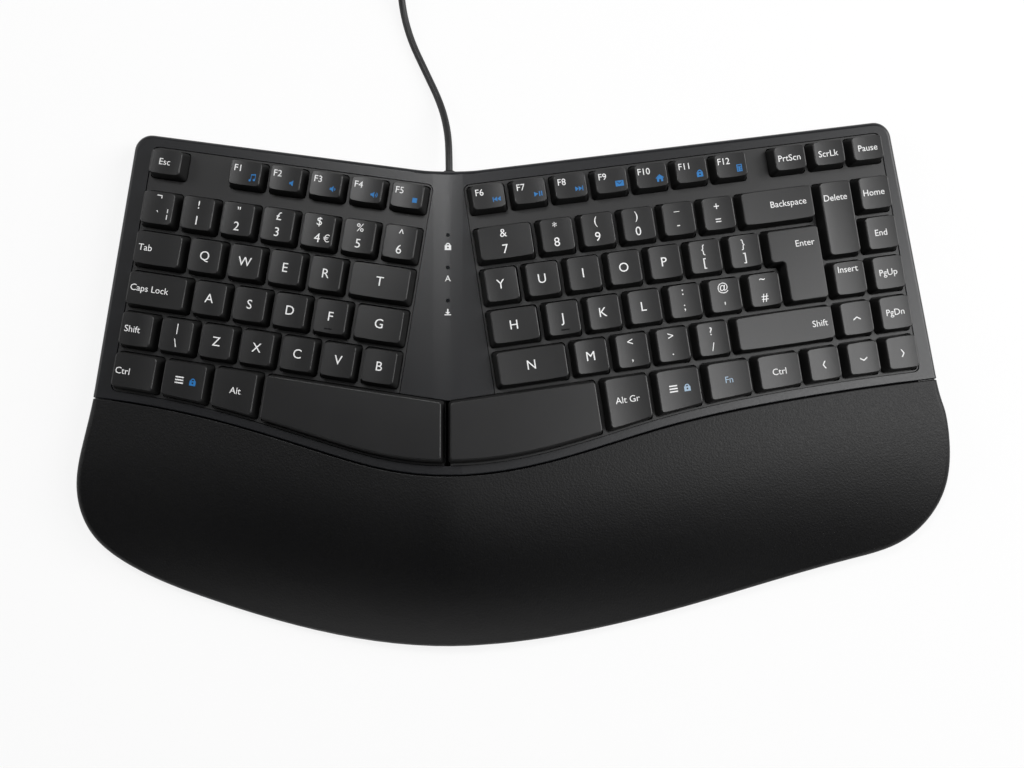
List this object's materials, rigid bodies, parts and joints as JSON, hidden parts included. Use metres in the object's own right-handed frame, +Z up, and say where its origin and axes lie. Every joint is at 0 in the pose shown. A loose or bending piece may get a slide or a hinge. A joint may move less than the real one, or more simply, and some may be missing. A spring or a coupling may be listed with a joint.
{
  "type": "ergonomic split keyboard",
  "caption": "One-piece split keyboard with a low middle ridge, two slanted key fields, a curved palm rest, flip-out rear feet and a thin cable with a plug.",
  "frame": {"origin": "middle of the bounding box without the cable, on the surface that the rubber feet rest on", "axes": "+Z up, +Y from the palm rest to the rear edge, where the cable leaves, +X to the typist's right"},
  "size_m": [0.4088, 0.3838, 0.0422],
  "materials": {
    "case_plastic": "satin charcoal moulding",
    "palm_plastic": "fine-grained charcoal moulding",
    "key_plastic": "satin black key caps with printed legends",
    "floor_plastic": "textured black moulding",
    "guide_plastic": "plain black moulding",
    "silicone": "translucent silicone rubber",
    "film": "printed polyester film",
    "steel": "galvanised sheet",
    "screw_steel": "nickel-plated",
    "board": "green solder mask",
    "clear_plastic": "clear acrylic",
    "rubber": "matt black",
    "cable_jacket": "soft matt jacket",
    "plug_plastic": "matt moulding"
  },
  "bodies": {
    "case": {"back_plates": "steel", "bottom_cover": "floor_plastic", "cable_coil": "cable_jacket", "cable_grommet": "cable_jacket", "cable_lead": "cable_jacket", "case_screws": "screw_steel", "contact_membranes": "film", "controller_board": "board", "dome_sheets": "silicone", "key_frame_left": "guide_plastic", "key_frame_right": "guide_plastic", "light_pipes": "clear_plastic", "palm_rest": "palm_plastic", "plug_grip": "plug_plastic", "plug_shell": "screw_steel", "plug_tongue": "plug_plastic", "rubber_feet": "rubber", "top_cover": "case_plastic"},
    "key_a": {"key_a": "key_plastic"},
    "key_b": {"key_b": "key_plastic"},
    "key_backspace": {"key_backspace": "key_plastic"},
    "key_c": {"key_c": "key_plastic"},
    "key_d": {"key_d": "key_plastic"},
    "key_e": {"key_e": "key_plastic"},
    "key_enter": {"key_enter": "key_plastic"},
    "key_f": {"key_f": "key_plastic"},
    "key_g": {"key_g": "key_plastic"},
    "key_h": {"key_h": "key_plastic"},
    "key_i": {"key_i": "key_plastic"},
    "key_j": {"key_j": "key_plastic"},
    "key_k": {"key_k": "key_plastic"},
    "key_l": {"key_l": "key_plastic"},
    "key_m": {"key_m": "key_plastic"},
    "key_n": {"key_n": "key_plastic"},
    "key_o": {"key_o": "key_plastic"},
    "key_p": {"key_p": "key_plastic"},
    "key_q": {"key_q": "key_plastic"},
    "key_r": {"key_r": "key_plastic"},
    "key_s": {"key_s": "key_plastic"},
    "key_space_left": {"key_space_left": "key_plastic"},
    "key_space_right": {"key_space_right": "key_plastic"},
    "key_t": {"key_t": "key_plastic"},
    "key_u": {"key_u": "key_plastic"},
    "key_v": {"key_v": "key_plastic"},
    "key_w": {"key_w": "key_plastic"},
    "key_x": {"key_x": "key_plastic"},
    "key_y": {"key_y": "key_plastic"},
    "key_z": {"key_z": "key_plastic"},
    "keys_arrow": {"keys_arrow": "key_plastic"},
    "keys_function_left": {"keys_function_left": "key_plastic"},
    "keys_function_right": {"keys_function_right": "key_plastic"},
    "keys_modifier_left": {"keys_modifier_left": "key_plastic"},
    "keys_modifier_right": {"keys_modifier_right": "key_plastic"},
    "keys_navigation": {"keys_navigation": "key_plastic"},
    "keys_number_left": {"keys_number_left": "key_plastic"},
    "keys_number_right": {"keys_number_right": "key_plastic"},
    "keys_symbol_left": {"keys_symbol_left": "key_plastic"},
    "keys_symbol_right": {"keys_symbol_right": "key_plastic"},
    "flip_foot_left": {"flip_foot_left": "case_plastic"},
    "flip_foot_right": {"flip_foot_right": "case_plastic"}
  },
  "joints": [
    {"name": "key_a_press", "type": "slide", "parent": "case", "child": "key_a", "axis": [-0.1045, 0.026, 0.9942], "range_m": [-0.003, 0], "stiffness_N_per_m": 200, "springref_m": 0.0006},
    {"name": "key_b_press", "type": "slide", "parent": "case", "child": "key_b", "axis": [-0.1045, 0.026, 0.9942], "range_m": [-0.003, 0], "stiffness_N_per_m": 200, "springref_m": 0.0006},
    {"name": "key_backspace_press", "type": "slide", "parent": "case", "child": "key_backspace", "axis": [0.0871, 0.0261, 0.9959], "range_m": [-0.003, 0], "stiffness_N_per_m": 200, "springref_m": 0.0006},
    {"name": "key_c_press", "type": "slide", "parent": "case", "child": "key_c", "axis": [-0.1045, 0.026, 0.9942], "range_m": [-0.003, 0], "stiffness_N_per_m": 200, "springref_m": 0.0006},
    {"name": "key_d_press", "type": "slide", "parent": "case", "child": "key_d", "axis": [-0.1045, 0.026, 0.9942], "range_m": [-0.003, 0], "stiffness_N_per_m": 200, "springref_m": 0.0006},
    {"name": "key_e_press", "type": "slide", "parent": "case", "child": "key_e", "axis": [-0.1045, 0.026, 0.9942], "range_m": [-0.003, 0], "stiffness_N_per_m": 200, "springref_m": 0.0006},
    {"name": "key_enter_press", "type": "slide", "parent": "case", "child": "key_enter", "axis": [0.0871, 0.0261, 0.9959], "range_m": [-0.003, 0], "stiffness_N_per_m": 200, "springref_m": 0.0006},
    {"name": "key_f_press", "type": "slide", "parent": "case", "child": "key_f", "axis": [-0.1045, 0.026, 0.9942], "range_m": [-0.003, 0], "stiffness_N_per_m": 200, "springref_m": 0.0006},
    {"name": "key_g_press", "type": "slide", "parent": "case", "child": "key_g", "axis": [-0.1045, 0.026, 0.9942], "range_m": [-0.003, 0], "stiffness_N_per_m": 200, "springref_m": 0.0006},
    {"name": "key_h_press", "type": "slide", "parent": "case", "child": "key_h", "axis": [0.0871, 0.0261, 0.9959], "range_m": [-0.003, 0], "stiffness_N_per_m": 200, "springref_m": 0.0006},
    {"name": "key_i_press", "type": "slide", "parent": "case", "child": "key_i", "axis": [0.0871, 0.0261, 0.9959], "range_m": [-0.003, 0], "stiffness_N_per_m": 200, "springref_m": 0.0006},
    {"name": "key_j_press", "type": "slide", "parent": "case", "child": "key_j", "axis": [0.0871, 0.0261, 0.9959], "range_m": [-0.003, 0], "stiffness_N_per_m": 200, "springref_m": 0.0006},
    {"name": "key_k_press", "type": "slide", "parent": "case", "child": "key_k", "axis": [0.0871, 0.0261, 0.9959], "range_m": [-0.003, 0], "stiffness_N_per_m": 200, "springref_m": 0.0006},
    {"name": "key_l_press", "type": "slide", "parent": "case", "child": "key_l", "axis": [0.0871, 0.0261, 0.9959], "range_m": [-0.003, 0], "stiffness_N_per_m": 200, "springref_m": 0.0006},
    {"name": "key_m_press", "type": "slide", "parent": "case", "child": "key_m", "axis": [0.0871, 0.0261, 0.9959], "range_m": [-0.003, 0], "stiffness_N_per_m": 200, "springref_m": 0.0006},
    {"name": "key_n_press", "type": "slide", "parent": "case", "child": "key_n", "axis": [0.0871, 0.0261, 0.9959], "range_m": [-0.003, 0], "stiffness_N_per_m": 200, "springref_m": 0.0006},
    {"name": "key_o_press", "type": "slide", "parent": "case", "child": "key_o", "axis": [0.0871, 0.0261, 0.9959], "range_m": [-0.003, 0], "stiffness_N_per_m": 200, "springref_m": 0.0006},
    {"name": "key_p_press", "type": "slide", "parent": "case", "child": "key_p", "axis": [0.0871, 0.0261, 0.9959], "range_m": [-0.003, 0], "stiffness_N_per_m": 200, "springref_m": 0.0006},
    {"name": "key_q_press", "type": "slide", "parent": "case", "child": "key_q", "axis": [-0.1045, 0.026, 0.9942], "range_m": [-0.003, 0], "stiffness_N_per_m": 200, "springref_m": 0.0006},
    {"name": "key_r_press", "type": "slide", "parent": "case", "child": "key_r", "axis": [-0.1045, 0.026, 0.9942], "range_m": [-0.003, 0], "stiffness_N_per_m": 200, "springref_m": 0.0006},
    {"name": "key_s_press", "type": "slide", "parent": "case", "child": "key_s", "axis": [-0.1045, 0.026, 0.9942], "range_m": [-0.003, 0], "stiffness_N_per_m": 200, "springref_m": 0.0006},
    {"name": "key_space_left_press", "type": "slide", "parent": "case", "child": "key_space_left", "axis": [-0.1045, 0.026, 0.9942], "range_m": [-0.003, 0], "stiffness_N_per_m": 200, "springref_m": 0.0006, "deforming": ["dome_sheets"]},
    {"name": "key_space_right_press", "type": "slide", "parent": "case", "child": "key_space_right", "axis": [0.0871, 0.0261, 0.9959], "range_m": [-0.003, 0], "stiffness_N_per_m": 200, "springref_m": 0.0006},
    {"name": "key_t_press", "type": "slide", "parent": "case", "child": "key_t", "axis": [-0.1045, 0.026, 0.9942], "range_m": [-0.003, 0], "stiffness_N_per_m": 200, "springref_m": 0.0006},
    {"name": "key_u_press", "type": "slide", "parent": "case", "child": "key_u", "axis": [0.0871, 0.0261, 0.9959], "range_m": [-0.003, 0], "stiffness_N_per_m": 200, "springref_m": 0.0006},
    {"name": "key_v_press", "type": "slide", "parent": "case", "child": "key_v", "axis": [-0.1045, 0.026, 0.9942], "range_m": [-0.003, 0], "stiffness_N_per_m": 200, "springref_m": 0.0006},
    {"name": "key_w_press", "type": "slide", "parent": "case", "child": "key_w", "axis": [-0.1045, 0.026, 0.9942], "range_m": [-0.003, 0], "stiffness_N_per_m": 200, "springref_m": 0.0006},
    {"name": "key_x_press", "type": "slide", "parent": "case", "child": "key_x", "axis": [-0.1045, 0.026, 0.9942], "range_m": [-0.003, 0], "stiffness_N_per_m": 200, "springref_m": 0.0006},
    {"name": "key_y_press", "type": "slide", "parent": "case", "child": "key_y", "axis": [0.0871, 0.0261, 0.9959], "range_m": [-0.003, 0], "stiffness_N_per_m": 200, "springref_m": 0.0006},
    {"name": "key_z_press", "type": "slide", "parent": "case", "child": "key_z", "axis": [-0.1045, 0.026, 0.9942], "range_m": [-0.003, 0], "stiffness_N_per_m": 200, "springref_m": 0.0006},
    {"name": "keys_arrow_press", "type": "slide", "parent": "case", "child": "keys_arrow", "axis": [0.0871, 0.0261, 0.9959], "range_m": [-0.003, 0], "stiffness_N_per_m": 800, "springref_m": 0.0006},
    {"name": "keys_function_left_press", "type": "slide", "parent": "case", "child": "keys_function_left", "axis": [-0.1045, 0.026, 0.9942], "range_m": [-0.003, 0], "stiffness_N_per_m": 1200, "springref_m": 0.0006},
    {"name": "keys_function_right_press", "type": "slide", "parent": "case", "child": "keys_function_right", "axis": [0.0871, 0.0261, 0.9959], "range_m": [-0.003, 0], "stiffness_N_per_m": 1400, "springref_m": 0.0006},
    {"name": "keys_modifier_left_press", "type": "slide", "parent": "case", "child": "keys_modifier_left", "axis": [-0.1045, 0.026, 0.9942], "range_m": [-0.003, 0], "stiffness_N_per_m": 1200, "springref_m": 0.0006},
    {"name": "keys_modifier_right_press", "type": "slide", "parent": "case", "child": "keys_modifier_right", "axis": [0.0871, 0.0261, 0.9959], "range_m": [-0.003, 0], "stiffness_N_per_m": 1000, "springref_m": 0.0006},
    {"name": "keys_navigation_press", "type": "slide", "parent": "case", "child": "keys_navigation", "axis": [0.0871, 0.0261, 0.9959], "range_m": [-0.003, 0], "stiffness_N_per_m": 1800, "springref_m": 0.0006},
    {"name": "keys_number_left_press", "type": "slide", "parent": "case", "child": "keys_number_left", "axis": [-0.1045, 0.026, 0.9942], "range_m": [-0.003, 0], "stiffness_N_per_m": 1200, "springref_m": 0.0006},
    {"name": "keys_number_right_press", "type": "slide", "parent": "case", "child": "keys_number_right", "axis": [0.0871, 0.0261, 0.9959], "range_m": [-0.003, 0], "stiffness_N_per_m": 800, "springref_m": 0.0006},
    {"name": "keys_symbol_left_press", "type": "slide", "parent": "case", "child": "keys_symbol_left", "axis": [-0.1045, 0.026, 0.9942], "range_m": [-0.003, 0], "stiffness_N_per_m": 400, "springref_m": 0.0006},
    {"name": "keys_symbol_right_press", "type": "slide", "parent": "case", "child": "keys_symbol_right", "axis": [0.0871, 0.0261, 0.9959], "range_m": [-0.003, 0], "stiffness_N_per_m": 2000, "springref_m": 0.0006},
    {"name": "flip_foot_left_hinge", "type": "hinge", "parent": "case", "child": "flip_foot_left", "pos_m": [-0.13185, 0.08969, 0.0044], "axis": [1, 0, 0], "range_deg": [0, 95]},
    {"name": "flip_foot_right_hinge", "type": "hinge", "parent": "case", "child": "flip_foot_right", "pos_m": [0.09815, 0.09336, 0.0044], "axis": [1, 0, 0], "range_deg": [0, 95]}
  ]
}
